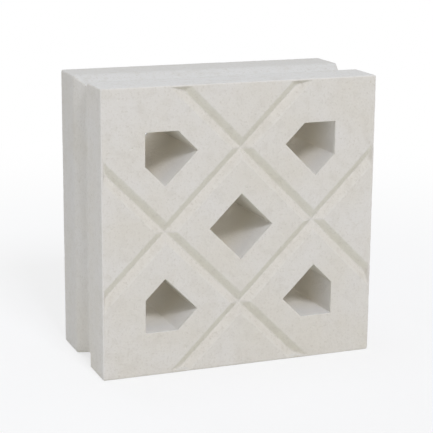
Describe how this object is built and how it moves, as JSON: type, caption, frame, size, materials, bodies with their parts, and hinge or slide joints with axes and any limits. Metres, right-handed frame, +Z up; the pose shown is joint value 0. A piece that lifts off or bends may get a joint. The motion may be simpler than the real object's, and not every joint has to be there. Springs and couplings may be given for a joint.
{
  "type": "decorative screen block",
  "caption": "Square cast concrete screen block with diamond openings, vee grooves crossing its face and a mortar key round its sides.",
  "frame": {"origin": "middle of the underside, on the level it stands on", "axes": "+Z up, X across the patterned face, the patterned face looks along -Y"},
  "size_m": [0.19, 0.09, 0.19],
  "materials": {
    "concrete": "matte cast off-white concrete"
  },
  "bodies": {
    "root": {"screen_block": "concrete"}
  },
  "joints": []
}
